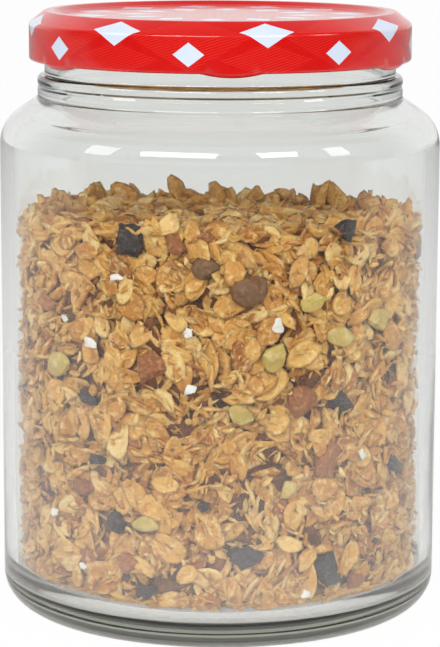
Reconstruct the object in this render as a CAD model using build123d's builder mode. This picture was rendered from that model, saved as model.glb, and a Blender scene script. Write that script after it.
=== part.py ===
"""Twist-off storage jar filled with granola, as separate named parts.

Frame: +Z is up, the jar stands on z = 0 with its axis on Z, and -Y faces the viewer.
Units are millimetres.  Azimuths are counted from the front (-Y) towards +X.
The lid stands at the start of the threads: its lugs sit in the gaps between the ramps.
"""
from math import cos, radians, sin, sqrt
from build123d import *
import os

os.makedirs("parts", exist_ok=True)

# Jar body
body_radius = 59.8
wall = 3.6
shoulder_corner_height = 133.35
shoulder_radius = 11.0
heel_radius = 9.4
bearing_inner_radius = 45.6
punt_radius = 42.0
punt_height = 2.2
inner_floor_edge = 6.8
inner_floor_centre = 8.0
inner_heel_radius = 8.0
inner_shoulder_radius = 7.6

# Jar neck
bead_radius = 49.5
bead_root_height = 140.27
bead_top_height = 146.2
bead_groove_height = 143.5
bead_groove_depth = 0.3
bead_groove_half = 0.7
bead_step = 0.4
neck_radius = 47.6
neck_bore_radius = 44.2
lip_height = 161.9
lip_radius = 1.2

# Threads on the neck and lugs under the lid
lug_count = 6
front_lug_azimuth = 3.4
thread_radius = 1.6
thread_centre_radius = 48.2
thread_closed_height = 153.6
thread_rise = 1.3
thread_start_offset = 12.4
thread_end_offset = 47.6
lug_half_angle = 9.5
lug_inner_radius = 48.3
lug_bottom_curve = 31.0

# Lid
lid_radius = 51.75
lid_top_height = 163.5
sheet = 0.25
panel_recess = 1.2
panel_radius = 43.7
rim_inner_radius = 45.2
rim_outer_radius = 47.6
lid_corner_height = 160.2
curl_radius = 0.8
curl_height = 151.15
lug_bottom_height = 149.3
lug_top_height = 151.8
compound_inner_radius = 44.5
compound_outer_radius = 48.4

# Clearances
seal_clearance = 0.02
bond_clearance = 0.03
bed_clearance = 0.4
pocket_clearance = 0.3

# Granola and the larger ingredients lying against the glass
bed_top_edge = 109.6
bed_top_centre = 111.0
bed_crest_height = 112.0
bed_crest_radius = 18.0
bed_dip_height = 110.4
bed_dip_radius = 38.0
bed_edge_inset = 5.0
face_clearance = 0.25
chocolate_depth = 5.0
almond_depth = 4.5
hazelnut_depth = 5.0
seed_depth = 2.2
coconut_depth = 0.9

body_bore_radius = body_radius - wall
bed_radius = body_bore_radius - bed_clearance
lug_pitch = 360 / lug_count


def mitred(points, distance):
    """Offset an open run of (radius, height) points to its right-hand side."""
    normals = []
    for (r0, z0), (r1, z1) in zip(points, points[1:]):
        length = sqrt((r1 - r0) ** 2 + (z1 - z0) ** 2)
        normals.append(((z1 - z0) / length, -(r1 - r0) / length))
    moved = []
    for i, (r, z) in enumerate(points):
        a = normals[max(i - 1, 0)]
        b = normals[min(i, len(normals) - 1)]
        scale = distance / (1 + a[0] * b[0] + a[1] * b[1])
        moved.append((r + (a[0] + b[0]) * scale, z + (a[1] + b[1]) * scale))
    return moved


def height_on(points, radius):
    """Height of an open run of points at a radius."""
    for (r0, z0), (r1, z1) in zip(points, points[1:]):
        if r0 <= radius <= r1:
            return z0 + (z1 - z0) * (radius - r0) / (r1 - r0)
    return points[-1][1]


# Glass jar: one lathe profile, then six thread ramps on the neck
shoulder_run = body_radius - bead_radius
shoulder_rise = bead_root_height - shoulder_corner_height
shoulder_slope = shoulder_rise / shoulder_run
shoulder_normal_drop = wall * sqrt(1 + shoulder_slope ** 2)
inner_shoulder_at_bore = shoulder_corner_height - shoulder_normal_drop + wall * shoulder_slope
inner_shoulder_at_neck = inner_shoulder_at_bore + (body_bore_radius - neck_bore_radius) * shoulder_slope

jar_outline = [
    ((0, punt_height), 0),
    ((punt_radius, punt_height), 2.0),
    ((bearing_inner_radius, 0), 2.0),
    ((body_radius, 0), heel_radius),
    ((body_radius, shoulder_corner_height), shoulder_radius),
    ((bead_radius, bead_root_height), 1.0),
    ((bead_radius, bead_groove_height - bead_groove_half), 0.4),
    ((bead_radius - bead_groove_depth, bead_groove_height), 0.4),
    ((bead_radius, bead_groove_height + bead_groove_half), 0.4),
    ((bead_radius, bead_top_height), 0.7),
    ((neck_radius, bead_top_height + bead_step), 0.7),
    ((neck_radius, lip_height), lip_radius),
    ((neck_bore_radius, lip_height), lip_radius),
    ((neck_bore_radius, inner_shoulder_at_neck), 3.0),
    ((body_bore_radius, inner_shoulder_at_bore), inner_shoulder_radius),
    ((body_bore_radius, inner_floor_edge), inner_heel_radius),
    ((0, inner_floor_centre), 0),
]

thread_sweep = thread_end_offset - thread_start_offset
thread_pitch = thread_rise * 360 / thread_sweep

with BuildPart() as thread_ramp:
    with BuildLine() as ramp_path:
        Helix(pitch=thread_pitch, height=thread_rise, radius=thread_centre_radius)
    with BuildSketch(Plane(origin=ramp_path.line @ 0, z_dir=ramp_path.line % 0)):
        Circle(thread_radius)
    sweep(path=ramp_path.line)
    with Locations(ramp_path.line @ 0, ramp_path.line @ 1):
        Sphere(thread_radius)

with BuildPart() as glass_jar:
    with BuildSketch(Plane.XZ):
        with BuildLine():
            FilletPolyline(*[p for p, r in jar_outline], radius=[r for p, r in jar_outline], close=True)
        make_face()
    revolve(axis=Axis.Z)
    for k in range(lug_count):
        closed_end = front_lug_azimuth - 90 - thread_end_offset + k * lug_pitch
        add(thread_ramp.part.moved(Location((0, 0, thread_closed_height), (0, 0, closed_end))))

glass_jar.part.label = "glass_jar"
export_step(glass_jar.part, "parts/glass_jar.step")

# Lid: thin sheet shell, rolled edge and six inward lugs
panel_height = lid_top_height - panel_recess
lid_outside = [
    (0, panel_height),
    (panel_radius, panel_height),
    (rim_inner_radius, lid_top_height),
    (rim_outer_radius, lid_top_height),
    (lid_radius, lid_corner_height),
    (lid_radius, curl_height),
]
lid_inside = mitred(lid_outside, sheet)
lid_radii = [0, 0.8, 0.8, 0.9, 1.2, 0]
lid_inner_radii = [0, 0.5, 0.5, 0.65, 0.95, 0]

with BuildPart() as lug:
    with BuildSketch(Plane.XZ):
        with BuildLine():
            FilletPolyline(
                (lid_radius - 0.6, lug_top_height),
                (lid_radius - 0.6, lug_bottom_height),
                (lug_inner_radius + 0.9, lug_bottom_height),
                (lug_inner_radius, lug_bottom_height + 1.0),
                (lug_inner_radius, lug_top_height),
                radius=[0, 0.3, 0.4, 0.4, 0.3],
                close=True,
            )
        make_face()
    revolve(axis=Axis.Z, revolution_arc=2 * lug_half_angle)

with BuildPart() as lug_shape:
    add(lug.part.rotate(Axis.Z, -lug_half_angle))
    with BuildSketch(Plane.YZ):
        with Locations((0, lug_bottom_height + lug_bottom_curve)):
            Circle(lug_bottom_curve)
    extrude(amount=lid_radius + 5, mode=Mode.INTERSECT)

with BuildPart() as lid_shell:
    with BuildSketch(Plane.XZ):
        with BuildLine():
            FilletPolyline(
                *(lid_outside + lid_inside[::-1]),
                radius=lid_radii + lid_inner_radii[::-1],
                close=True,
            )
        make_face()
    revolve(axis=Axis.Z)
    with BuildSketch(Plane.XZ):
        with Locations((lid_radius - curl_radius, curl_height)):
            Circle(curl_radius)
    revolve(axis=Axis.Z)
    for k in range(lug_count):
        add(lug_shape.part.moved(Location((0, 0, 0), (0, 0, front_lug_azimuth - 90 + k * lug_pitch))))

lid_shell.part.label = "lid_shell"
export_step(lid_shell.part, "parts/lid_shell.step")

# Sealing compound: a ring that fills the channel under the lid's rim
compound_top = mitred(lid_outside, sheet + bond_clearance)
compound_base = lip_height + seal_clearance

with BuildPart() as lid_sealing_ring:
    with BuildSketch(Plane.XZ):
        with BuildLine():
            FilletPolyline(
                (compound_inner_radius, compound_base),
                (compound_outer_radius, compound_base),
                (compound_outer_radius, height_on(compound_top, compound_outer_radius)),
                compound_top[3],
                compound_top[2],
                (compound_inner_radius, height_on(compound_top, compound_inner_radius)),
                radius=[0.15, 0.15, 0.15, 0.6, 0.5, 0.15],
                close=True,
            )
        make_face()
    revolve(axis=Axis.Z)

lid_sealing_ring.part.label = "lid_sealing_ring"
export_step(lid_sealing_ring.part, "parts/lid_sealing_ring.step")


# Ingredients: (azimuth, height, width, height across, turn) for those seen in front
def wall_plane(azimuth, height, turn, half_width):
    """Plane lying against the glass, its normal pointing outwards."""
    a = radians(azimuth)
    t = radians(turn)
    reach = sqrt((bed_radius - face_clearance) ** 2 - half_width ** 2)
    return Plane(
        origin=(reach * sin(a), -reach * cos(a), height),
        x_dir=(cos(a) * cos(t), sin(a) * cos(t), sin(t)),
        z_dir=(sin(a), -cos(a), 0),
    )


def outline_points(kind, width, tall, grow):
    """Corner points of an ingredient's outline."""
    shapes = {
        "chunk": [(-0.5, -0.38), (-0.1, -0.5), (0.46, -0.42), (0.5, 0.2), (0.2, 0.5), (-0.42, 0.44)],
        "almond": [(-0.5, -0.1), (-0.22, -0.46), (0.24, -0.5), (0.5, -0.06), (0.3, 0.42), (-0.2, 0.5)],
        "hazelnut": [(-0.5, -0.2), (-0.2, -0.5), (0.22, -0.5), (0.5, -0.18), (0.44, 0.32), (0, 0.5), (-0.44, 0.3)],
        "seed": [(-0.5, 0), (-0.28, -0.42), (0.16, -0.5), (0.5, -0.1), (0.5, 0.1), (0.16, 0.5), (-0.28, 0.42)],
        "coconut": [(-0.5, -0.5), (0.1, -0.34), (0.5, -0.5), (0.44, 0.4), (-0.06, 0.5), (-0.46, 0.36)],
    }
    return [(x * (width + 2 * grow), y * (tall + 2 * grow)) for x, y in shapes[kind]]


def ingredient(kind, place, depth, edge):
    """One solid ingredient."""
    azimuth, height, width, tall, turn = place
    plane = wall_plane(azimuth, height, turn, sqrt(width ** 2 + tall ** 2) / 2)
    points = outline_points(kind, width, tall, 0)
    corner = 0.12 * min(width, tall)
    with BuildPart() as piece:
        with BuildSketch(plane.offset(-depth)):
            with BuildLine():
                FilletPolyline(*points, radius=[corner] * len(points), close=True)
            make_face()
        extrude(amount=depth)
        front_face = piece.faces().sort_by(Axis(plane.origin, plane.z_dir))[-1]
        chamfer(front_face.edges(), min(edge, 0.7 * corner))
    return piece.part


def pocket(kind, place, depth):
    """The hollow in the bed around one ingredient, open towards the glass."""
    azimuth, height, width, tall, turn = place
    plane = wall_plane(azimuth, height, turn, sqrt(width ** 2 + tall ** 2) / 2)
    with BuildPart() as hollow:
        with BuildSketch(plane.offset(-depth - pocket_clearance)):
            Polygon(*outline_points(kind, width, tall, pocket_clearance), align=None)
        extrude(amount=depth + pocket_clearance + wall)
    return hollow.part


chocolate_front = [
    (-25, 108.5, 8.6, 10.4, 4), (37, 110, 7, 7.3, 0), (36, 65, 7.4, 6.3, 8), (58, 45, 5.7, 6.8, 0),
    (-39, 65, 8.4, 3.7, -10), (8, 25, 10.2, 6.3, 5), (31, 20, 9.6, 11.2, -6), (-29.5, 33, 7, 6.4, 0),
    (-20, 15, 6.5, 4.7, 0), (-4, 39, 3.2, 2.8, 20), (-36, 49, 5.5, 2.6, 5),
]
almond_front = [
    (-12.5, 106.5, 6.7, 7.4, 10), (-19, 75, 9, 7.9, 25), (24, 66, 9.8, 9.4, 0), (31, 50, 10.4, 9, 12),
    (-40, 41, 8, 6, 0), (-25.5, 23, 6.6, 7, 10), (41, 15.6, 5.6, 4.8, 0), (-54, 89, 6, 5.2, 0),
    (-3, 109, 5.6, 3.7, 0),
]
hazelnut_front = [(8, 96, 10.2, 10, 0), (-3.5, 101, 7.4, 6.6, 0)]
seed_front = [
    (-49, 73, 9.8, 6.6, 20), (15, 78, 8.6, 6.4, 60), (-20, 34, 8, 6, -15), (19, 43, 5.8, 4.8, 30),
    (6, 63, 7.6, 5.4, -20), (49, 85, 9.6, 6.8, 10), (35, 82, 8.6, 5.4, -8), (26, 92, 8, 5.4, 12),
]
coconut_front = [
    (-28, 98, 4.5, 2.2, 5), (-36, 80, 4.4, 3.7, 0), (-8, 85, 2.6, 3.2, 10), (-7, 70, 4.6, 3.2, 15),
    (15.5, 86.5, 3.4, 4.2, 0), (-50, 33, 4.2, 2.6, 0), (42, 50, 3.2, 3.7, 0), (24, 14.6, 3.3, 2.6, 0),
    (-39, 20, 2.6, 2.2, 0), (-45, 86, 2.4, 2.4, 0),
]
around = {"chunk": [], "almond": [], "hazelnut": [], "seed": [], "coconut": []}
around_kinds = ["chunk", "almond", "seed", "coconut", "hazelnut", "seed"]
around_sizes = {"chunk": (8, 7), "almond": (9, 7), "hazelnut": (8.5, 8), "seed": (9, 6), "coconut": (4.5, 3.2)}
around_count = 36
for k in range(around_count):
    kind = around_kinds[k % len(around_kinds)]
    width, tall = around_sizes[kind]
    azimuth = 80 + 200 * ((k * 0.618034) % 1)
    height = 14 + 90 * (k + 0.5) / around_count
    around[kind].append((azimuth, height, width, tall, (k * 47) % 60 - 30))

groups = [
    ("dark_chocolate_chunks", "chunk", chocolate_front, chocolate_depth, 0.5),
    ("almond_pieces", "almond", almond_front, almond_depth, 0.8),
    ("hazelnut_pieces", "hazelnut", hazelnut_front, hazelnut_depth, 0.9),
    ("pumpkin_seeds", "seed", seed_front, seed_depth, 0.5),
    ("coconut_flakes", "coconut", coconut_front, coconut_depth, 0.15),
]

# Granola bed: a loose fill with a pocket around every larger ingredient
bed_bottom_edge = inner_floor_edge + bed_clearance
bed_bottom_centre = inner_floor_centre + bed_clearance
pockets = []
for name, kind, front, depth, edge in groups:
    for place in front + around[kind]:
        pockets.append(pocket(kind, place, depth))

with BuildPart() as granola_bed:
    with BuildSketch(Plane.XZ):
        with BuildLine():
            FilletPolyline(
                (0, bed_bottom_centre),
                (bed_radius, bed_bottom_edge),
                (bed_radius, bed_top_edge),
                (bed_radius - bed_edge_inset, bed_top_edge + 1.0),
                (bed_dip_radius, bed_dip_height),
                (bed_crest_radius, bed_crest_height),
                (0, bed_top_centre),
                radius=[0, inner_heel_radius, 0.8, 2.5, 9.0, 9.0, 0],
                close=True,
            )
        make_face()
    revolve(axis=Axis.Z)
    for hollow in pockets:
        add(hollow, mode=Mode.SUBTRACT)

granola_bed.part.label = "granola_bed"
export_step(granola_bed.part, "parts/granola_bed.step")

for name, kind, front, depth, edge in groups:
    solids = [ingredient(kind, place, depth, edge) for place in front + around[kind]]
    with BuildPart() as group:
        for solid in solids:
            add(solid)
    group.part.label = name
    export_step(group.part, "parts/" + name + ".step")
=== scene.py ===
import math

import bpy
import numpy as np
from mathutils import Matrix


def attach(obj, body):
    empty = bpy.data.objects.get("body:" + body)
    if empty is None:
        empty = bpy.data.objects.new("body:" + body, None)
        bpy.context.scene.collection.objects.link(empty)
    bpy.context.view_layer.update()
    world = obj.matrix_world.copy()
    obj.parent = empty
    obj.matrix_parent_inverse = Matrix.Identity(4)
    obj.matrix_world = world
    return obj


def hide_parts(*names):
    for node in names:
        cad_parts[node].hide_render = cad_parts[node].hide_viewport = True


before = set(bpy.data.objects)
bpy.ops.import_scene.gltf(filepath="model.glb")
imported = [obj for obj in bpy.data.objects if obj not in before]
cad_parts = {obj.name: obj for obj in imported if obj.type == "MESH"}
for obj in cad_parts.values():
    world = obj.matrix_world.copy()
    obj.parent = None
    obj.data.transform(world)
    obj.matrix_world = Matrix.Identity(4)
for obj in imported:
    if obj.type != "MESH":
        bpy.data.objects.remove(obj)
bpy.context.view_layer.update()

MM = 0.001
PER_METRE = 1000.0

# Sizes of the jar and its lid in millimetres, as in the solid model
BODY_R = 59.8
WALL = 3.6
SHOULDER_Z = 133.35
SHOULDER_R = 11.0
HEEL_R = 9.4
BEARING_R = 45.6
PUNT_R = 42.0
PUNT_Z = 2.2
FLOOR_EDGE = 6.8
FLOOR_CENTRE = 8.0
INNER_HEEL_R = 8.0
BEAD_R = 49.5
BEAD_ROOT_Z = 140.27
BEAD_TOP_Z = 146.2
BEAD_GROOVE_Z = 143.5
BEAD_GROOVE_HALF = 0.7
BEAD_GROOVE_DEPTH = 0.3
NECK_R = 47.6
BORE_R = 44.2
LIP_Z = 161.9
LIP_R = 1.2
THREAD_R = 1.6
THREAD_CENTRE_R = 48.2
THREAD_CLOSED_Z = 153.6
THREAD_RISE = 1.3
THREAD_START = 12.4
THREAD_END = 47.6
THREAD_ZONE_LOW = 148
THREAD_ZONE_HIGH = 160
LUG_COUNT = 6
LUG_PITCH = 360 / LUG_COUNT
LUG_AZIMUTH = 3.4
LUG_HALF = 9.5
LUG_INNER_R = 48.3
LUG_BOTTOM_Z = 149.3
LUG_TOP_Z = 151.8
LID_R = 51.75
LID_Z = 163.5
LID_CORNER_Z = 160.2
SHEET = 0.25
PANEL_R = 43.7
RIM_IN_R = 45.2
RIM_OUT_R = 47.6
PANEL_RECESS = 1.2
CURL_R = 0.8
CURL_Z = 151.15
BORE_BODY_R = BODY_R - WALL
BED_R = BORE_BODY_R - 0.4
BED_TOP = 108.4
BED_FALL = 3.2
GLASS_GAP = 0.3
CORE_R = 51.8

# Fineness of the turned meshes
JAR_SEGMENTS = 288
LID_SEGMENTS = 300
CORE_SEGMENTS = 200
CURL_STEPS = 26
THREAD_STEP = 0.45
WALL_STEP = 3.5

# Rolled edge of the lid: share of a full turn, and the rows of it that are still red
CURL_SHARE = 0.93
CURL_RED_ROWS = 8

# Pale grey veil on the inside of the glass: a painted reflection of the white table, thinning out up the
# wall, and a thicker pale layer on the inner floor
WALL_VEIL = 0.12
WALL_VEIL_FULL_Z = 12.0
WALL_VEIL_END_Z = 85.0
FLOOR_VEIL = 0.7

# Surroundings: AMBIENT is their diffuse light, DIM what reflections find at the near side, and
# THROUGH what is seen through the glass. SHALLOW is the share of the ground's own light behind one
# wall. A ray that has crossed more than DEEP surfaces has been through the near and the far wall.
AMBIENT = 0.37
THROUGH = 0.9
SHALLOW = 0.5
DIM = 0.04
DEEP = 2.5
FLOOR_WHITE = 0.97
LIGHT_TARGET = (0, 0, 0.09)

# Camera: place in metres, angles in radians
CAMERA_PLACE = (0, -0.74406, 0.2081)
CAMERA_DOWN = 0.189
CAMERA_ROLL = 0.004

# Layout of the granola
SECTORS = 6
SECTOR_ANGLE = 360 / SECTORS
LOOSE_PITCH = 4.8
CLUMP_PITCH = 8.4
CLUMP_ROWS = 13
TOP_FLAKES = 700
TOP_R = 54.5
CRUMBS = 1600
AROUND_COUNT = 36
ANY_TURN = 6.3
GOLDEN_ANGLE = 2.399963
GOLDEN_SHARE = 0.618034


# Meshes from arrays
def make_object(name, verts, faces, body):
    """A smooth mesh object from millimetre vertices, riding on a body."""
    mesh = bpy.data.meshes.new(name)
    mesh.from_pydata([tuple(v) for v in np.asarray(verts) * MM], [], faces)
    mesh.update()
    mesh.polygons.foreach_set("use_smooth", [True] * len(mesh.polygons))
    obj = bpy.data.objects.new(name, mesh)
    bpy.context.scene.collection.objects.link(obj)
    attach(obj, body)
    return obj


def rounded(outline, step_angle):
    """Sampled run through ((r, z), radius) corners."""
    run = []
    last = len(outline) - 1
    for i, ((r, z), radius) in enumerate(outline):
        if i in (0, last) or radius == 0:
            run.append((r, z))
            continue
        here = np.array((r, z))
        back = np.array(outline[i - 1][0]) - here
        ahead = np.array(outline[i + 1][0]) - here
        back = back / np.linalg.norm(back)
        ahead = ahead / np.linalg.norm(ahead)
        half = math.acos(max(-1, min(1, float(back @ ahead)))) / 2
        tangent = radius / math.tan(half)
        bisector = (back + ahead) / np.linalg.norm(back + ahead)
        centre = here + bisector * (radius / math.sin(half))
        start = here + back * tangent - centre
        end = here + ahead * tangent - centre
        turn = math.pi - 2 * half
        steps = max(2, math.ceil(math.degrees(turn) / step_angle))
        a0 = math.atan2(start[1], start[0])
        a1 = math.atan2(end[1], end[0])
        sweep = (a1 - a0 + math.pi) % (2 * math.pi) - math.pi
        for k in range(steps + 1):
            a = a0 + sweep * k / steps
            run.append((centre[0] + radius * math.cos(a), centre[1] + radius * math.sin(a)))
    return run


def divided(run, longest):
    """The same run with no stretch longer than that."""
    out = [run[0]]
    for (r0, z0), (r1, z1) in zip(run, run[1:]):
        parts = max(1, math.ceil(math.hypot(r1 - r0, z1 - z0) / longest))
        for k in range(1, parts + 1):
            out.append((r0 + (r1 - r0) * k / parts, z0 + (z1 - z0) * k / parts))
    return out


def lathe(run, segments, move):
    """Vertices and faces of a turned form. Move shifts each row of vertices.

    A run that starts or ends on the axis is closed there.
    """
    phi = np.arange(segments) * 2 * math.pi / segments
    rows = []
    verts = []
    for i, (r, z) in enumerate(run):
        if r < 1e-6:
            rows.append([len(verts)] * segments)
            verts.append((0, 0, z))
            continue
        rr = np.full(segments, float(r))
        zz = np.full(segments, float(z))
        rr, zz = move(i, rr, zz, phi)
        rows.append(list(range(len(verts), len(verts) + segments)))
        verts.extend(zip(rr * np.sin(phi), -rr * np.cos(phi), zz))
    faces = []
    for a, b in zip(rows, rows[1:]):
        for k in range(segments):
            n = (k + 1) % segments
            corners = [a[k], a[n], b[n], b[k]]
            face = [c for j, c in enumerate(corners) if c != corners[j - 1]]
            if len(face) > 2:
                faces.append(tuple(face))
    return verts, faces


def waves(phi, z, seed):
    """Slow, seamless unevenness between about -1 and 1."""
    local = np.random.RandomState(seed)
    total = np.zeros_like(phi + z)
    for k in range(7):
        turns = local.randint(1, 6)
        rise = local.uniform(0.01, 0.075)
        total = total + np.sin(phi * turns + z * rise + local.uniform(0, 6.28)) * local.uniform(0.3, 1)
    return total / 3.0


# Material helpers
class Nodes:
    """Short way to build the nodes of a material or a world."""

    def __init__(self, owner, output="ShaderNodeOutputMaterial"):
        owner.use_nodes = True
        self.owner = owner
        self.tree = owner.node_tree
        self.tree.nodes.clear()
        self.output = self.add(output)

    def add(self, kind, **settings):
        node = self.tree.nodes.new(kind)
        for key, value in settings.items():
            setattr(node, key, value)
        return node

    def link(self, source, target):
        self.tree.links.new(source, target)

    def put(self, value, target):
        """Links a socket, or sets a plain value."""
        if hasattr(value, "is_linked"):
            self.link(value, target)
        else:
            target.default_value = value

    def finish(self, surface):
        """Links the surface to the output and returns the material or the world."""
        self.link(surface, self.output.inputs[0])
        return self.owner

    def math(self, operation, a, b=None):
        node = self.add("ShaderNodeMath", operation=operation)
        self.put(a, node.inputs[0])
        if b is not None:
            self.put(b, node.inputs[1])
        return node.outputs[0]

    def times(self, a, b):
        return self.math("MULTIPLY", a, b)

    def plus(self, a, b):
        return self.math("ADD", a, b)

    def mix(self, factor, a, b):
        node = self.add("ShaderNodeMix", data_type="RGBA")
        self.put(factor, node.inputs[0])
        self.put(a, node.inputs[6])
        self.put(b, node.inputs[7])
        return node.outputs[2]

    def mix_shader(self, factor, a, b):
        node = self.add("ShaderNodeMixShader")
        for value, socket in zip((factor, a, b), node.inputs):
            self.link(value, socket)
        return node.outputs[0]

    def noise(self, scale, detail, roughness=0.5):
        """Noise that is fixed to the object."""
        node = self.add("ShaderNodeTexNoise")
        node.inputs["Scale"].default_value = scale
        node.inputs["Detail"].default_value = detail
        node.inputs["Roughness"].default_value = roughness
        self.link(self.position(), node.inputs["Vector"])
        return node.outputs["Fac"]

    def position(self):
        return self.add("ShaderNodeTexCoord").outputs["Object"]

    def split(self, vector):
        node = self.add("ShaderNodeSeparateXYZ")
        self.link(vector, node.inputs[0])
        return node.outputs

    def distance_from_axis(self, x, y):
        return self.math("SQRT", self.plus(self.times(x, x), self.times(y, y)))

    def ramp(self, factor, stops):
        """Colours at places between 0 and 1."""
        node = self.add("ShaderNodeValToRGB")
        while len(node.color_ramp.elements) < len(stops):
            node.color_ramp.elements.new(0.5)
        for element, (place, colour) in zip(node.color_ramp.elements, stops):
            element.position = place
            element.color = colour
        self.put(factor, node.inputs[0])
        return node.outputs[0]

    def range(self, value, low, high, out_low=0.0, out_high=1.0):
        node = self.add("ShaderNodeMapRange")
        self.put(value, node.inputs[0])
        for k, number in enumerate((low, high, out_low, out_high)):
            node.inputs[k + 1].default_value = number
        return node.outputs[0]

    def bump(self, height, strength, distance):
        node = self.add("ShaderNodeBump")
        node.inputs["Strength"].default_value = strength
        node.inputs["Distance"].default_value = distance
        self.link(height, node.inputs["Height"])
        return node.outputs[0]

    def principled(self, **values):
        """The usual surface, with an underscore for each blank in the names of its sockets."""
        node = self.add("ShaderNodeBsdfPrincipled")
        for key, value in values.items():
            self.put(value, node.inputs[key.replace("_", " ")])
        return node


def material_nodes(name):
    """A new material, empty but for its output."""
    return Nodes(bpy.data.materials.new(name))


def srgb(r, g, b):
    """Linear colour from 0-255 display values."""
    def lin(v):
        v = v / 255
        return v / 12.92 if v <= 0.04045 else ((v + 0.055) / 1.055) ** 2.4
    return (lin(r), lin(g), lin(b), 1.0)


# Glass
def glass_material():
    """Clear glass, greenish in its depth, with a pale grey veil inside low down, that casts hardly any
    shadow. The veil on the wall is a painted reflection of the white table.
    """
    n = material_nodes("jar_glass")
    height = n.plus(n.noise(22.0, 2.0), n.times(n.noise(140.0, 2.0), 0.08))
    glass = n.principled(
        Base_Color=(0.955, 0.965, 0.955, 1.0), Roughness=0.0, IOR=1.5, Transmission_Weight=1.0,
    )
    n.link(n.bump(height, 0.03, 0.003), glass.inputs["Normal"])
    clear = n.add("ShaderNodeBsdfTransparent")
    clear.inputs[0].default_value = (0.98, 0.985, 0.98, 1.0)
    path = n.add("ShaderNodeLightPath")
    passing = n.math("MAXIMUM", path.outputs["Is Shadow Ray"], path.outputs["Is Diffuse Ray"])
    x, y, z = n.split(n.position())
    radius = n.distance_from_axis(x, y)
    inside = n.range(radius, (BORE_BODY_R + 0.6) * MM, (BORE_BODY_R + 1.2) * MM, 1.0, 0.0)
    # Painted reflection of the white table: a pale grey veil low on the inner wall, thinning out upwards
    low = n.range(z, WALL_VEIL_FULL_Z * MM, WALL_VEIL_END_Z * MM, WALL_VEIL, 0.0)
    patchy = n.range(n.noise(45.0, 3.0), 0.3, 0.6, 0.5, 1.2)
    veil = n.times(n.times(inside, low), patchy)
    # A thicker pale layer on the inner floor
    near_floor = n.range(z, (FLOOR_CENTRE + 0.4) * MM, (FLOOR_CENTRE + 1.0) * MM, FLOOR_VEIL, 0.0)
    above_foot = n.math("GREATER_THAN", z, (PUNT_Z + 1.0) * MM)
    veil = n.math("MAXIMUM", veil, n.times(n.times(inside, near_floor), above_foot))
    veil_shader = n.add("ShaderNodeBsdfDiffuse")
    veil_shader.inputs[0].default_value = (0.8, 0.8, 0.82, 1.0)
    veiled = n.mix_shader(veil, glass.outputs[0], veil_shader.outputs[0])
    body = n.add("ShaderNodeVolumeAbsorption")
    body.inputs["Color"].default_value = (0.30, 0.34, 0.22, 1.0)
    body.inputs["Density"].default_value = 13.0
    n.link(body.outputs[0], n.output.inputs[1])
    return n.finish(n.mix_shader(passing, veiled, clear.outputs[0]))


slope = (BEAD_ROOT_Z - SHOULDER_Z) / (BODY_R - BEAD_R)
inner_shoulder_z = SHOULDER_Z - WALL * math.sqrt(1 + slope ** 2) + WALL * slope
inner_neck_z = inner_shoulder_z + (BORE_BODY_R - BORE_R) * slope
jar_outline = [
    ((0, PUNT_Z), 0), ((PUNT_R, PUNT_Z), 2.0), ((BEARING_R, 0), 2.0), ((BODY_R, 0), HEEL_R),
    ((BODY_R, SHOULDER_Z), SHOULDER_R), ((BEAD_R, BEAD_ROOT_Z), 1.0),
    ((BEAD_R, BEAD_GROOVE_Z - BEAD_GROOVE_HALF), 0.4), ((BEAD_R - BEAD_GROOVE_DEPTH, BEAD_GROOVE_Z), 0.4),
    ((BEAD_R, BEAD_GROOVE_Z + BEAD_GROOVE_HALF), 0.4), ((BEAD_R, BEAD_TOP_Z), 1.3),
    ((NECK_R, BEAD_TOP_Z + 0.4), 0.7), ((NECK_R, LIP_Z), LIP_R), ((BORE_R, LIP_Z), LIP_R),
    ((BORE_R, inner_neck_z), 3.0), ((BORE_BODY_R, inner_shoulder_z), 7.6),
    ((BORE_BODY_R, FLOOR_EDGE), INNER_HEEL_R), ((0, FLOOR_CENTRE), 0),
]
jar_run = rounded(jar_outline, 4)
fine_run = []
for (r0, z0), (r1, z1) in zip(jar_run, jar_run[1:]):
    on_neck = min(r0, r1) > NECK_R - 0.1 and min(z0, z1) >= BEAD_TOP_Z
    on_threads = on_neck and z1 > THREAD_ZONE_LOW
    fine_run += divided([(r0, z0), (r1, z1)], THREAD_STEP if on_threads else WALL_STEP)[:-1]
fine_run.append(jar_run[-1])


def thread_swell(rr, zz, phi):
    """Radius of the neck where a thread ramp stands on it."""
    out = rr.copy()
    for k in range(LUG_COUNT):
        lug = math.radians(LUG_AZIMUTH + k * LUG_PITCH)
        behind = (lug - phi) % (2 * math.pi)
        along = (np.degrees(behind) - THREAD_START) / (THREAD_END - THREAD_START)
        inside = np.clip(along, 0, 1)
        centre = THREAD_CLOSED_Z + THREAD_RISE * (1 - inside)
        past = np.radians((along - inside) * (THREAD_END - THREAD_START)) * THREAD_CENTRE_R
        left = THREAD_R ** 2 - (zz - centre) ** 2 - past ** 2
        out = np.where(left > 0, np.maximum(out, THREAD_CENTRE_R + np.sqrt(np.maximum(left, 0))), out)
    return out


def move_glass(i, rr, zz, phi):
    """Threads on the neck and slight waves on the inner and outer wall."""
    r = rr[0]
    z = zz[0]
    if abs(r - NECK_R) < 0.05 and THREAD_ZONE_LOW < z < THREAD_ZONE_HIGH:
        return thread_swell(rr, zz, phi), zz
    if abs(r - BORE_BODY_R) < 0.05:
        return rr + 0.16 * waves(phi, zz, seed=3), zz
    if abs(r - BODY_R) < 0.01:
        return rr - 0.03 * (1 + waves(phi, zz, seed=4)) / 2, zz
    return rr, zz


verts, faces = lathe(fine_run, JAR_SEGMENTS, move_glass)
glass = make_object("jar_glass_body", verts, faces, "jar")
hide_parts("glass_jar")
glass.data.materials.append(glass_material())


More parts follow.
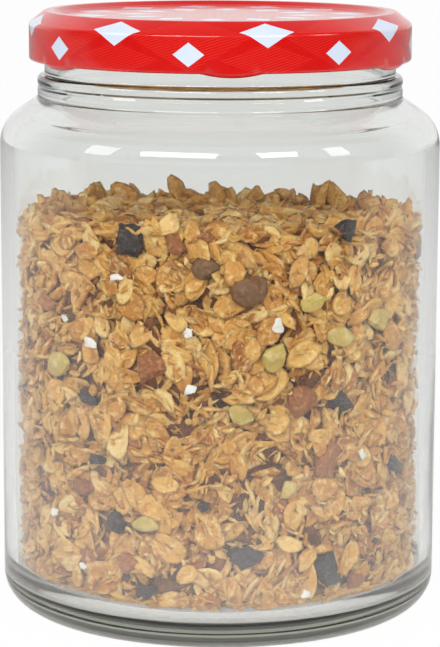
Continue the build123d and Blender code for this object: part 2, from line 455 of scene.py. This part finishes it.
# Lid
def lid_material():
    """Red lacquer with rings of pale diamonds and finely lined facets."""
    n = material_nodes("lid_lacquer")
    x, y, z = n.split(n.position())
    turn = n.math("DIVIDE", n.math("ARCTAN2", x, n.times(y, -1.0)), 2 * math.pi)
    down = n.times(n.math("SUBTRACT", LID_Z * MM, z), PER_METRE)
    along = n.plus(n.times(n.distance_from_axis(x, y), PER_METRE), down)

    def off(value, centre):
        return n.math("ABSOLUTE", n.math("SUBTRACT", value, centre))

    def lozenges(count, shift, centre, tall, wide):
        """1 inside a ring of upright diamonds; wide is a share of their spacing."""
        place = n.math("FRACT", n.plus(n.times(turn, float(count)), shift + 100.0))
        across = n.times(off(place, 0.5), 2 / wide)
        up = n.times(off(along, centre), 2 / tall)
        return n.math("LESS_THAN", n.plus(across, up), 1.0)

    shoulder = lozenges(8, 0.2, 53.6, 9.4, 0.36)
    skirt = lozenges(8, 0.7, 60.0, 6.2, 0.2)
    panel = n.math("MAXIMUM", lozenges(12, 0.15, 37.0, 11.0, 0.62), lozenges(12, 0.65, 24.0, 11.0, 0.6))
    tinted = n.math("MAXIMUM", lozenges(8, 0.7, 55.5, 18.0, 0.8), lozenges(8, 0.2, 61.5, 9.0, 0.62))
    hatch = n.math("SINE", n.plus(n.times(along, 9.0), n.times(turn, 900.0)))
    lines = n.math("GREATER_THAN", hatch, 0.1)
    red = n.mix(n.noise(60.0, 2.0), srgb(188, 4, 2), srgb(196, 7, 4))
    lined = n.mix(n.times(lines, 0.8), red, srgb(206, 34, 24))
    ground = n.mix(tinted, red, lined)
    pale = n.math("MAXIMUM", n.math("MAXIMUM", shoulder, skirt), panel)
    colour = n.mix(pale, ground, srgb(198, 208, 224))
    shader = n.principled(Base_Color=colour, IOR=1.5, Coat_Weight=0.3, Coat_Roughness=0.05)
    n.link(n.range(n.noise(900.0, 2.0), 0.3, 0.7, 0.16, 0.24), shader.inputs["Roughness"])
    n.link(n.bump(n.noise(420.0, 2.0), 0.03, 0.0006), shader.inputs["Normal"])
    return n.finish(shader.outputs[0])


def gold_material():
    """Gold lacquer of the lid's inside."""
    n = material_nodes("lid_gold_lacquer")
    colour = n.mix(n.noise(180.0, 3.0), srgb(182, 160, 112), srgb(206, 186, 140))
    shader = n.principled(Base_Color=colour, Metallic=0.55)
    n.link(n.range(n.noise(700.0, 2.0), 0.3, 0.7, 0.28, 0.4), shader.inputs["Roughness"])
    return n.finish(shader.outputs[0])


panel_z = LID_Z - PANEL_RECESS
lid_outside = [
    ((0, panel_z), 0), ((PANEL_R, panel_z), 0.8), ((RIM_IN_R, LID_Z), 0.8),
    ((RIM_OUT_R, LID_Z), 0.9), ((LID_R, LID_CORNER_Z), 1.2), ((LID_R, CURL_Z), 0),
]
outer_run = divided(rounded(lid_outside, 8), 2.5)


def inward(run, distance):
    """The run moved towards the inside of the sheet."""
    pts = np.array(run)
    ahead = np.gradient(pts, axis=0)
    ahead = ahead / np.linalg.norm(ahead, axis=1)[:, None]
    moved = pts + np.stack([ahead[:, 1], -ahead[:, 0]], axis=1) * distance
    moved[0] = (0, run[0][1] - distance)
    return [tuple(p) for p in moved]


inner_run = inward(outer_run, SHEET)
curl_round = []
curl_flat = []
curl_centre = LID_R - CURL_R
for k in range(1, CURL_STEPS):
    a = -2 * math.pi * k / CURL_STEPS * CURL_SHARE
    curl_round.append((curl_centre + CURL_R * math.cos(a), CURL_Z + CURL_R * math.sin(a)))
lug_loop = rounded([
    ((LID_R, CURL_Z), 0), ((LID_R, LUG_BOTTOM_Z + 0.9), 0.7), ((LID_R - 0.9, LUG_BOTTOM_Z), 0.7),
    ((LUG_INNER_R + 0.9, LUG_BOTTOM_Z), 0.5), ((LUG_INNER_R, LUG_BOTTOM_Z + 1.0), 0.5),
    ((LUG_INNER_R, LUG_TOP_Z), 0.35), ((LID_R - 0.7, LUG_TOP_Z), 0),
], 20)
lengths = np.cumsum([0] + [math.dist(a, b) for a, b in zip(lug_loop, lug_loop[1:])])
for k in range(1, CURL_STEPS):
    s = lengths[-1] * k / CURL_STEPS
    curl_flat.append((
        float(np.interp(s, lengths, [p[0] for p in lug_loop])),
        float(np.interp(s, lengths, [p[1] for p in lug_loop])),
    ))
lid_run = outer_run + curl_round + inner_run[::-1]
curl_first = len(outer_run)


def move_lid(i, rr, zz, phi):
    """The rolled edge, flattened inwards where there is a lug."""
    k = i - curl_first
    if not 0 <= k < len(curl_round):
        return rr, zz
    away = (np.degrees(phi) - LUG_AZIMUTH + LUG_PITCH / 2) % LUG_PITCH - LUG_PITCH / 2
    near = np.clip((LUG_HALF + 0.8 - np.abs(away)) / 2.6, 0, 1)
    weight = near * near * (3 - 2 * near)
    r_flat, z_flat = curl_flat[k]
    # The lower edge of a lug curves up towards its ends
    rise = (np.radians(away) * 50) ** 2 / 62
    z_lug = np.minimum(z_flat + rise * (z_flat < CURL_Z), np.maximum(z_flat, CURL_Z))
    return rr + (r_flat - rr) * weight, zz + (z_lug - zz) * weight


verts, faces = lathe(lid_run, LID_SEGMENTS, move_lid)
lid = make_object("lid_sheet", verts, faces, "lid")
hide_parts("lid_shell")
lid.data.materials.append(lid_material())
lid.data.materials.append(gold_material())
rows_outside = curl_first + CURL_RED_ROWS
for poly in lid.data.polygons:
    row = max(0, min(poly.vertices) - 1) // LID_SEGMENTS
    poly.material_index = 1 if row >= rows_outside else 0


def compound_material():
    """Pale satin compound of the sealing ring."""
    n = material_nodes("sealing_compound")
    colour = n.mix(n.noise(300.0, 3.0), srgb(214, 208, 190), srgb(226, 222, 206))
    shader = n.principled(Base_Color=colour, Roughness=0.5)
    n.link(n.bump(n.noise(600.0, 3.0), 0.1, 0.0004), shader.inputs["Normal"])
    return n.finish(shader.outputs[0])


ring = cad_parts["lid_sealing_ring"]
ring.data.materials.clear()
ring.data.materials.append(compound_material())


# Granola: many thin flakes from eighty shapes
def disc(n, rings):
    """Unit disc with a top and bottom skin: (ring, angle, side) rows and faces."""
    rows = [(0, 0, 1.0)]
    loops = []
    order = [(q, 1.0) for q in rings[:-1]] + [(rings[-1], 0.0)] + [(q, -1.0) for q in rings[-2::-1]]
    for q, side in order:
        loops.append(list(range(len(rows), len(rows) + n)))
        for k in range(n):
            rows.append((q, 2 * math.pi * k / n, side))
    rows.append((0, 0, -1.0))
    last = len(rows) - 1
    faces = [(0, loops[0][k], loops[0][(k + 1) % n]) for k in range(n)]
    for a, b in zip(loops, loops[1:]):
        faces += [(a[k], b[k], b[(k + 1) % n], a[(k + 1) % n]) for k in range(n)]
    faces += [(last, loops[-1][(k + 1) % n], loops[-1][k]) for k in range(n)]
    return np.array(rows), faces


FINE_DISC = disc(12, (0.42, 0.78, 1.0))
ROUGH_DISC = disc(10, (0.6, 1.0))


def flake_shape(rows, local):
    """One oat flake lying in x, y: irregular outline, a crease and curled edges."""
    q, a, side = rows.T
    length = local.uniform(8.4, 11.8)
    width = length * local.choice([0.46, 0.55, 0.66, 0.78]) * local.uniform(0.92, 1.08)
    thick = local.uniform(1.0, 1.6)
    cleft = local.choice([0.0, 0.0, 0.14, 0.3])
    wobble = 1 + 0.05 * np.cos(2 * a + local.uniform(0, ANY_TURN))
    wobble = wobble + 0.06 * np.cos(3 * a + local.uniform(0, ANY_TURN))
    wobble = wobble + 0.035 * np.cos(5 * a + local.uniform(0, ANY_TURN))
    wobble = wobble - cleft * np.exp(-(np.minimum(a, 2 * math.pi - a) / 0.35) ** 2)
    x = q * wobble * np.cos(a) * length / 2
    y = q * wobble * np.sin(a) * width / 2
    x = x * (1 - 0.12 * (y / width * 2) ** 2)
    bow = local.uniform(-0.4, 1.9) * (y / width * 2) ** 2 + local.uniform(-1.0, 1.0) * (x / length * 2) ** 2
    twist = local.uniform(-0.9, 0.9) * x * y / length
    ripple = local.uniform(0.0, 0.35) * q ** 2 * np.sin(3 * a + local.uniform(0, ANY_TURN))
    crease = -0.45 * np.exp(-(y / 0.6) ** 2) * (q < 0.9)
    taper = 1 - 0.55 * q ** 3
    z = bow + twist + ripple + side * thick / 2 * taper + crease * (side > 0) + 0.25 * crease
    return np.stack([x, y, z], axis=1)


def flake_set(disc_form, count, seed):
    """Flake shapes on one disc, each with its own seed."""
    return [flake_shape(disc_form[0], np.random.RandomState(seed + k)) for k in range(count)]


def turned(normal, spin):
    """Rotation whose third column is the normal, turned about it."""
    normal = normal / np.linalg.norm(normal)
    helper = np.array((0, 0, 1.0)) if abs(normal[2]) < 0.9 else np.array((1.0, 0, 0))
    x = np.cross(helper, normal)
    x = x / np.linalg.norm(x)
    y = np.cross(normal, x)
    c, s = math.cos(spin), math.sin(spin)
    return np.stack([x * c + y * s, -x * s + y * c, normal], axis=1)


def bore_at(z):
    """Inner radius of the jar at a height, less the gap that the contents keep."""
    rise = np.clip(FLOOR_EDGE + INNER_HEEL_R - z, 0, INNER_HEEL_R)
    return BORE_BODY_R - GLASS_GAP - (INNER_HEEL_R - np.sqrt(INNER_HEEL_R ** 2 - rise ** 2))


def settle(points, outward, inset):
    """Moves a piece until it just clears the glass wall and floor."""
    points = points + np.array((0, 0, max(0.0, FLOOR_CENTRE + GLASS_GAP - points[:, 2].min())))
    reach = np.hypot(points[:, 0], points[:, 1]) - bore_at(points[:, 2])
    return points - outward * (reach.max() + inset)


class Pile:
    """Collects many small meshes into one object that rides on the jar."""

    def __init__(self):
        self.verts = []
        self.faces = []
        self.count = 0

    def add(self, points, faces):
        self.verts.append(points)
        self.faces += [tuple(c + self.count for c in f) for f in faces]
        self.count += len(points)

    def build(self, name, node, material):
        obj = make_object(name, np.concatenate(self.verts), self.faces, "jar")
        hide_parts(node)
        obj.data.materials.append(material)


def oat_material():
    """Toasted oats: a tone for each flake, with brown patches, and painted highlights on the raised ridges.
    """
    n = material_nodes("toasted_oats")
    each = n.add("ShaderNodeNewGeometry").outputs["Random Per Island"]
    tone = n.ramp(each, [
        (0.0, srgb(160, 90, 26)), (0.12, srgb(202, 136, 52)), (0.4, srgb(222, 162, 74)),
        (0.7, srgb(232, 179, 92)), (0.9, srgb(244, 208, 138)), (1.0, srgb(210, 146, 66)),
    ])
    fine = n.noise(1100.0, 4.0, 0.6)
    patch = n.noise(330.0, 4.0, 0.6)
    ridge_and_highlight = n.noise(560.0, 5.0, 0.65)
    # Painted highlight: pale colour on the raised ridges, which the bump also lifts
    colour = n.mix(n.range(ridge_and_highlight, 0.5, 0.68, 0.0, 0.8), tone, srgb(252, 222, 154))
    colour = n.mix(n.range(patch, 0.52, 0.68, 0.0, 0.5), colour, srgb(176, 100, 32))
    colour = n.mix(n.range(fine, 0.56, 0.76, 0.0, 0.22), colour, srgb(128, 72, 28))
    shader = n.principled(Base_Color=colour, Roughness=0.4)
    bumps = n.plus(n.times(fine, 0.5), n.times(ridge_and_highlight, 1.6))
    n.link(n.bump(bumps, 0.75, 0.0011), shader.inputs["Normal"])
    return n.finish(shader.outputs[0])


fine_shapes = flake_set(FINE_DISC, 48, seed=100)
rough_shapes = flake_set(ROUGH_DISC, 32, seed=300)

# The larger ingredients: (azimuth, height, width, height across, turn), as in the solid model
chocolate_front = [
    (-25, 108.5, 8.6, 10.4, 4), (37, 110, 7, 7.3, 0), (36, 65, 7.4, 6.3, 8), (58, 45, 5.7, 6.8, 0),
    (-39, 65, 8.4, 3.7, -10), (8, 25, 10.2, 6.3, 5), (31, 20, 9.6, 11.2, -6), (-29.5, 33, 7, 6.4, 0),
    (-20, 15, 6.5, 4.7, 0), (-4, 39, 3.2, 2.8, 20), (-36, 49, 5.5, 2.6, 5),
]
almond_front = [
    (-12.5, 106.5, 6.7, 7.4, 10), (-19, 75, 9, 7.9, 25), (24, 66, 9.8, 9.4, 0), (31, 50, 10.4, 9, 12),
    (-40, 41, 8, 6, 0), (-25.5, 23, 6.6, 7, 10), (41, 15.6, 5.6, 4.8, 0), (-54, 89, 6, 5.2, 0),
    (-3, 109, 5.6, 3.7, 0),
]
hazelnut_front = [(8, 96, 10.2, 10, 0), (-3.5, 101, 7.4, 6.6, 0)]
seed_front = [
    (-49, 73, 9.8, 6.6, 20), (15, 78, 8.6, 6.4, 60), (-20, 34, 8, 6, -15), (19, 43, 5.8, 4.8, 30),
    (6, 63, 7.6, 5.4, -20), (49, 85, 9.6, 6.8, 10), (35, 82, 8.6, 5.4, -8), (26, 92, 8, 5.4, 12),
]
coconut_front = [
    (-28, 98, 4.5, 2.2, 5), (-36, 80, 4.4, 3.7, 0), (-8, 85, 2.6, 3.2, 10), (-7, 70, 4.6, 3.2, 15),
    (15.5, 86.5, 3.4, 4.2, 0), (-50, 33, 4.2, 2.6, 0), (42, 50, 3.2, 3.7, 0), (24, 14.6, 3.3, 2.6, 0),
    (-39, 20, 2.6, 2.2, 0), (-45, 86, 2.4, 2.4, 0),
]
around = {"chunk": [], "almond": [], "hazelnut": [], "seed": [], "coconut": []}
around_kinds = ["chunk", "almond", "seed", "coconut", "hazelnut", "seed"]
around_sizes = {
    "chunk": (8, 7), "almond": (9, 7), "hazelnut": (8.5, 8), "seed": (9, 6), "coconut": (4.5, 3.2),
}
for k in range(AROUND_COUNT):
    kind = around_kinds[k % len(around_kinds)]
    width, tall = around_sizes[kind]
    azimuth = 80 + 200 * ((k * GOLDEN_SHARE) % 1)
    height = 14 + 90 * (k + 0.5) / AROUND_COUNT
    around[kind].append((azimuth, height, width, tall, (k * 47) % 60 - 30))
groups = [
    ("chunk", chocolate_front, 5.0), ("almond", almond_front, 4.5), ("hazelnut", hazelnut_front, 5.0),
    ("seed", seed_front, 2.2), ("coconut", coconut_front, 0.9),
]
large = [place for kind, front, depth in groups for place in front + around[kind]]


def covered(azimuth, z, share=0.38):
    """True where a larger ingredient lies at that place on the wall."""
    for a, h, w, t, _ in large:
        across = ((azimuth - a + 180) % 360 - 180) * math.radians(1) * BED_R
        if (across / (w * share + 0.9)) ** 2 + ((z - h) / (t * share + 0.9)) ** 2 < 1:
            return True
    return False


def bed_height(x, y):
    """Uneven top of the granola, lower at the far side."""
    phi = np.arctan2(x, -y)
    r = np.hypot(x, y)
    return BED_TOP - 1.8 - BED_FALL * y / BED_R + 1.1 * waves(phi, r * 3.0, seed=21) * np.minimum(r / 20, 1)


oats = oat_material()
UP = np.array((0, 0, 1.0))


def wall_axes(azimuth):
    """Directions outward and along the wall at an azimuth in degrees."""
    a = math.radians(azimuth)
    return np.array((math.sin(a), -math.cos(a), 0)), np.array((math.cos(a), math.sin(a), 0))


def leaned(outward, across, tilt, lean):
    """The outward direction, tilted towards the lean."""
    return outward * math.cos(tilt) + math.sin(tilt) * (across * math.cos(lean) + UP * math.sin(lean))


def clump(pile, local, azimuth, z):
    """Six to nine flakes baked together against the glass, fanned out or stacked."""
    outward, across = wall_axes(azimuth)
    tilt = math.radians(58) * local.uniform(0, 1)
    lean = local.uniform(0, 2 * math.pi)
    spin = local.uniform(0, 2 * math.pi)
    fan = local.uniform(0, 1) < 0.45
    base = local.uniform(0, 1.4)
    number = local.randint(6, 10)
    for k in range(number):
        turn = spin + k * 2 * math.pi / number
        reach = local.uniform(2.6, 4.6) if fan else local.uniform(0, 4.4)
        side = reach * math.cos(turn)
        rise = reach * math.sin(turn)
        flake_tilt = tilt + math.radians(local.uniform(-30, 30))
        flake_lean = lean + math.radians(local.uniform(-50, 50))
        own_spin = turn + local.uniform(-0.3, 0.3) if fan else spin + local.uniform(-0.7, 0.7)
        size = local.uniform(0.72, 1.15)
        inset = base + k * 0.3 + local.uniform(0, 0.8)
        shape = fine_shapes[local.randint(len(fine_shapes))]
        place = azimuth + math.degrees(side / BED_R)
        if covered(place, z + rise):
            continue
        height = min(max(z + rise, 8.5), BED_TOP + BED_FALL * math.cos(math.radians(place)) - 1.0)
        normal = leaned(outward, across, flake_tilt, flake_lean)
        points = (shape * size) @ turned(normal, own_spin).T
        points = points + outward * (BED_R - 4) + across * side + UP * height
        pile.add(settle(points, outward, inset), FINE_DISC[1])


def wall_sector(name, low, high, seed):
    """Flakes against the glass between two azimuths: loose ones behind, baked clumps in front."""
    local = np.random.RandomState(seed)
    pile = Pile()
    arc = math.radians(high - low) * BED_R
    columns, rows = round(arc / LOOSE_PITCH), round(104 / LOOSE_PITCH)
    for i in range(columns):
        for j in range(rows):
            azimuth = low + (high - low) * (i + local.uniform(0, 1)) / columns
            z = 8.0 + 101 * (j + local.uniform(0, 1)) / rows
            outward, across = wall_axes(azimuth)
            tilt = math.radians(75) * local.uniform(0, 1)
            normal = leaned(outward, across, tilt, local.uniform(0, ANY_TURN))
            shape = rough_shapes[local.randint(len(rough_shapes))] * local.uniform(0.7, 1.05)
            points = shape @ turned(normal, local.uniform(0, ANY_TURN)).T
            points = points + outward * (BED_R - 5) + UP * z
            pile.add(settle(points, outward, 2.4 + local.uniform(0, 1.8)), ROUGH_DISC[1])
    columns, rows = round(arc / CLUMP_PITCH), CLUMP_ROWS
    for i in range(columns):
        for j in range(rows):
            azimuth = low + (high - low) * (i + 0.5 * (j % 2) + local.uniform(0.1, 0.6)) / columns
            clump(pile, local, azimuth, 9.0 + 100 * (j + local.uniform(0.15, 0.85)) / rows)
    pile.build(name, "granola_bed", oats)


def top_flakes(name, count, seed):
    """Flakes lying on the top of the bed."""
    local = np.random.RandomState(seed)
    pile = Pile()
    for k in range(count):
        r = TOP_R * math.sqrt((k + 0.5) / count)
        a = k * GOLDEN_ANGLE
        x, y = r * math.cos(a), r * math.sin(a)
        tilt = math.radians(44) * local.uniform(0, 1)
        lean = local.uniform(0, 2 * math.pi)
        normal = np.array((math.sin(tilt) * math.cos(lean), math.sin(tilt) * math.sin(lean), math.cos(tilt)))
        shape = fine_shapes[local.randint(len(fine_shapes))] * local.uniform(0.7, 1.1)
        points = shape @ turned(normal, local.uniform(0, ANY_TURN)).T
        z = bed_height(np.array(x), np.array(y)) + local.uniform(-2.2, 0.6)
        points = points + np.array((x, y, float(z)))
        over = (np.hypot(points[:, 0], points[:, 1]) - bore_at(points[:, 2])).max() + 0.1
        if over > 0:
            points = points - np.array((x, y, 0)) / r * over
        pile.add(points, FINE_DISC[1])
    pile.build(name, "granola_bed", oats)


def crumb_pile(name, count, seed):
    """Small broken bits between the flakes."""
    local = np.random.RandomState(seed)
    pile = Pile()
    for k in range(count):
        azimuth = local.uniform(0, 360)
        z = 8.0 + 100 * local.uniform(0, 1)
        size = local.uniform(0.2, 0.4)
        stretch = np.array((local.uniform(0.7, 1.4), local.uniform(0.5, 1.0), local.uniform(1.0, 2.2)))
        outward = wall_axes(azimuth)[0]
        inset = local.uniform(0, 2.0)
        normal = local.normal(size=3)
        shape = rough_shapes[local.randint(len(rough_shapes))] * size * stretch
        if covered(azimuth, z, 0.4):
            continue
        points = shape @ turned(normal, local.uniform(0, ANY_TURN)).T
        points = points + outward * (BED_R - 4) + UP * z
        pile.add(settle(points, outward, inset), ROUGH_DISC[1])
    pile.build(name, "granola_bed", oats)


for k in range(SECTORS):
    middle = k * SECTOR_ANGLE
    wall_sector("granola_wall_%d" % k, middle - SECTOR_ANGLE / 2, middle + SECTOR_ANGLE / 2, seed=11 + k)
top_flakes("granola_top", TOP_FLAKES, seed=31)
crumb_pile("granola_crumbs", CRUMBS, seed=41)


def core_material():
    """Dark brown that paints the shade in the depth between the flakes."""
    n = material_nodes("granola_painted_shade")
    colour = n.ramp(n.noise(240.0, 4.0, 0.6), [(0.35, srgb(58, 30, 12)), (0.65, srgb(140, 84, 36))])
    shader = n.principled(Base_Color=colour, Roughness=0.8)
    n.link(n.bump(n.noise(500.0, 4.0), 0.8, 0.002), shader.inputs["Normal"])
    return n.finish(shader.outputs[0])


core_run = divided(rounded([
    ((0, 9.0), 0), ((CORE_R, 8.4), 7.0), ((CORE_R, BED_TOP - 2.0), 2.0), ((0, BED_TOP - 1.2), 0),
], 15), 2.2)


def move_core(i, rr, zz, phi):
    """Small humps all round, and a top that falls towards the far side."""
    bump = np.sin(phi * 23 + zz * 0.9) * np.sin(phi * 11 - zz * 0.5) + np.sin(phi * 37 - zz * 1.3) * 0.5
    fall = BED_FALL * np.cos(phi) * rr / BED_R * (zz / BED_TOP) ** 4
    return rr + 0.7 * bump, zz + fall


# Painted shade: a dark brown turned core stands in for the shaded depth inside the granola
verts, faces = lathe(core_run, CORE_SEGMENTS, move_core)
core = make_object("granola_core", verts, faces, "jar")
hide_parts("granola_bed")
core.data.materials.append(core_material())


# Larger ingredients as irregular lumps
def lump(local, w, t, d, rough, cuts, point):
    """Irregular lump with chopped faces, w across, t high and d deep, as points and faces."""
    lat, lon = 16, 26
    rows = [(0, 0, 1.0)]
    for i in range(1, lat):
        u = math.pi * i / lat
        for k in range(lon):
            v = 2 * math.pi * k / lon
            rows.append((math.sin(u) * math.cos(v), math.sin(u) * math.sin(v), math.cos(u)))
    rows.append((0, 0, -1.0))
    p = np.array(rows)
    p = np.sign(p) * np.abs(p) ** 0.85
    p[:, 1] *= 1 - point * np.clip(p[:, 0], 0, 1) ** 1.5
    for k in range(cuts):
        normal = local.normal(size=3) * (1, 1, 0.7)
        normal = normal / np.linalg.norm(normal)
        beyond = p @ normal - local.uniform(0.45, 0.8)
        p = p - np.outer(np.clip(beyond, 0, None), normal)
    swell = np.ones(len(p))
    for k in range(9):
        axis = local.normal(size=3) * local.uniform(1.5, 7.0)
        swell += rough * np.sin(p @ axis + local.uniform(0, ANY_TURN)) / 4
    p = p * swell[:, None]
    p = p / np.abs(p).max(axis=0) * np.array((w / 2, t / 2, d / 2))
    faces = [(0, 1 + k, 1 + (k + 1) % lon) for k in range(lon)]
    for i in range(lat - 2):
        a = 1 + i * lon
        faces += [(a + k, a + lon + k, a + lon + (k + 1) % lon, a + (k + 1) % lon) for k in range(lon)]
    a = 1 + (lat - 2) * lon
    faces += [(len(p) - 1, a + (k + 1) % lon, a + k) for k in range(lon)]
    return p, faces


def lump_material(name, colours, roughness, bump_scale, bump_strength):
    """Skin of the lumps: each piece has its mix of two colours, with a third in patches."""
    n = material_nodes(name)
    each = n.add("ShaderNodeNewGeometry").outputs["Random Per Island"]
    base = n.mix(each, colours[0], colours[1])
    grain = n.noise(bump_scale, 4.0, 0.6)
    colour = n.mix(n.range(grain, 0.5, 0.8), base, colours[2])
    shader = n.principled(Base_Color=colour, Roughness=roughness)
    n.link(n.bump(grain, bump_strength, 0.0012), shader.inputs["Normal"])
    return n.finish(shader.outputs[0])


# Name, node, slot, roughness of form, cuts, point, colours, roughness of surface, bump scale and strength
looks = {
    "chunk": ("chocolate_lumps", "dark_chocolate_chunks", "dark_chocolate", 0.16, 10, 0.0,
              (srgb(34, 27, 28), srgb(48, 38, 36), srgb(104, 86, 76)), 0.42, 900.0, 0.9),
    "almond": ("almond_lumps", "almond_pieces", "almond", 0.14, 8, 0.5,
               (srgb(138, 78, 34), srgb(164, 98, 48), srgb(206, 152, 98)), 0.5, 900.0, 1.0),
    "hazelnut": ("hazelnut_lumps", "hazelnut_pieces", "hazelnut", 0.1, 3, 0.0,
                 (srgb(100, 66, 36), srgb(118, 80, 46), srgb(150, 108, 66)), 0.5, 600.0, 0.7),
    "seed": ("seed_lumps", "pumpkin_seeds", "pumpkin_seed", 0.08, 2, 0.75,
             (srgb(176, 146, 66), srgb(196, 168, 88), srgb(222, 202, 142)), 0.4, 300.0, 0.8),
    "coconut": ("coconut_chips", "coconut_flakes", "coconut", 0.3, 9, 0.3,
                (srgb(226, 220, 212), srgb(236, 232, 226), srgb(214, 204, 190)), 0.6, 500.0, 0.6),
}
for kind, front, depth in groups:
    name, node, slot, rough, cuts, point, colours, roughness, scale, strength = looks[kind]
    local = np.random.RandomState(len(name) * 7)
    pile = Pile()
    for azimuth, z, w, t, turn in front + around[kind]:
        points, lump_faces = lump(local, w, t, depth, rough, cuts, point)
        b = math.radians(turn)
        outward, across = wall_axes(azimuth)
        x = across * math.cos(b) + UP * math.sin(b)
        y = -across * math.sin(b) + UP * math.cos(b)
        points = points @ np.stack([x, y, outward]) + outward * (BED_R - 5) + UP * z
        pile.add(settle(points, outward, 0.7 if kind == "seed" else 0.05), lump_faces)
    pile.build(name, node, lump_material("skin_" + name, colours, roughness, scale, strength))


# Floor, light and camera
def floor_material():
    """White ground that shines to the eye and through the glass; reflections find it dark in front."""
    n = material_nodes("floor_white")
    path = n.add("ShaderNodeLightPath")
    camera_ray = path.outputs["Is Camera Ray"]
    through_ray = path.outputs["Is Transmission Ray"]
    deep = n.math("GREATER_THAN", path.outputs["Transmission Depth"], DEEP)
    mirrored = n.math("MAXIMUM", path.outputs["Is Glossy Ray"], through_ray)
    in_front = n.range(n.split(n.position())[1], -0.35, -0.14, 1.0, 0.0)
    dark = n.times(n.times(mirrored, n.math("SUBTRACT", 1.0, deep)), in_front)
    plain = n.add("ShaderNodeBsdfDiffuse")
    n.link(n.mix(dark, (0.9, 0.9, 0.9, 1.0), (0.06, 0.06, 0.06, 1.0)), plain.inputs[0])
    bright = n.add("ShaderNodeEmission")
    bright.inputs[0].default_value = (1, 1, 1, 1)
    n.link(n.math("MAXIMUM", camera_ray, THROUGH), bright.inputs[1])
    through = n.times(n.math("MAXIMUM", deep, SHALLOW), through_ray)
    seen = n.times(n.math("MAXIMUM", camera_ray, through), FLOOR_WHITE)
    return n.finish(n.mix_shader(seen, plain.outputs[0], bright.outputs[0]))


floor_mesh = bpy.data.meshes.new("floor")
floor_mesh.from_pydata([(-3, -3, 0), (3, -3, 0), (3, 3, 0), (-3, 3, 0)], [], [(0, 1, 2, 3)])
floor = bpy.data.objects.new("floor", floor_mesh)
bpy.context.scene.collection.objects.link(floor)
floor_mesh.materials.append(floor_material())


def studio_world():
    """White to the eye, dimmer as diffuse light, and dark at the near side for the glass and the lid."""
    n = Nodes(bpy.data.worlds.new("studio"), "ShaderNodeOutputWorld")
    path = n.add("ShaderNodeLightPath")
    through_ray = path.outputs["Is Transmission Ray"]
    direction = n.add("ShaderNodeTexCoord").outputs["Generated"]
    back = n.range(n.split(direction)[1], 0.1, 0.6, DIM, 1.0)
    deep = n.math("GREATER_THAN", path.outputs["Transmission Depth"], DEEP)
    passed = n.times(n.math("MAXIMUM", back, deep), THROUGH)
    bounced = n.math("GREATER_THAN", path.outputs["Is Glossy Ray"], through_ray)
    glossy = n.times(bounced, n.math("SUBTRACT", back, AMBIENT))
    through = n.times(through_ray, n.math("SUBTRACT", passed, AMBIENT))
    strength = n.plus(n.times(path.outputs["Is Camera Ray"], 1.0 - AMBIENT), AMBIENT)
    strength = n.plus(n.plus(strength, glossy), through)
    background = n.add("ShaderNodeBackground")
    background.inputs[0].default_value = (1, 1, 1, 1)
    n.link(strength, background.inputs[1])
    return n.finish(background.outputs[0])


bpy.context.scene.world = studio_world()


def softbox(name, azimuth, elevation, distance, width, height, watts):
    """An area light aimed at the jar, seen in reflections only: angles in degrees, lengths in metres."""
    light = bpy.data.lights.new(name, "AREA")
    light.shape = "RECTANGLE"
    light.size = width
    light.size_y = height
    light.energy = watts
    obj = bpy.data.objects.new(name, light)
    a = math.radians(azimuth)
    e = math.radians(elevation)
    place = np.array((math.sin(a) * math.cos(e), -math.cos(a) * math.cos(e), math.sin(e))) * distance
    obj.location = tuple(place + np.array(LIGHT_TARGET))
    toward = Matrix.Rotation(a, 4, "Z") @ Matrix.Rotation(math.pi / 2 - e, 4, "X")
    obj.rotation_euler = toward.to_euler()
    bpy.context.scene.collection.objects.link(obj)
    obj.visible_camera = False
    obj.visible_transmission = False
    return obj


softbox("front_left", -22, 27, 1.5, 1.0, 0.35, 10.0)
softbox("front_right", 31, 27, 1.5, 0.5, 0.35, 5.5)
softbox("far_left", -66, 25, 1.5, 0.4, 0.5, 3.5)
softbox("far_right", 65, 25, 1.5, 0.3, 0.5, 3.0)
overhead = softbox("overhead", 0, 80, 1.4, 1.4, 1.4, 8.0)
overhead.visible_glossy = False

camera_data = bpy.data.cameras.new("camera")
camera_data.sensor_fit = "VERTICAL"
camera_data.sensor_height = 36.0
camera_data.lens = 152.13
camera_data.shift_x = 0.0015
camera_data.shift_y = 0.0641
camera_data.clip_start = 0.01
camera = bpy.data.objects.new("camera", camera_data)
bpy.context.scene.collection.objects.link(camera)
tip = Matrix.Rotation(math.pi / 2 - CAMERA_DOWN, 4, "X") @ Matrix.Rotation(CAMERA_ROLL, 4, "Z")
camera.matrix_world = Matrix.Translation(CAMERA_PLACE) @ tip
bpy.context.scene.camera = camera

scene = bpy.context.scene
scene.view_settings.view_transform = "Standard"
scene.cycles.max_bounces = 24
scene.cycles.transmission_bounces = 20
scene.cycles.transparent_max_bounces = 24
scene.cycles.use_denoising = True
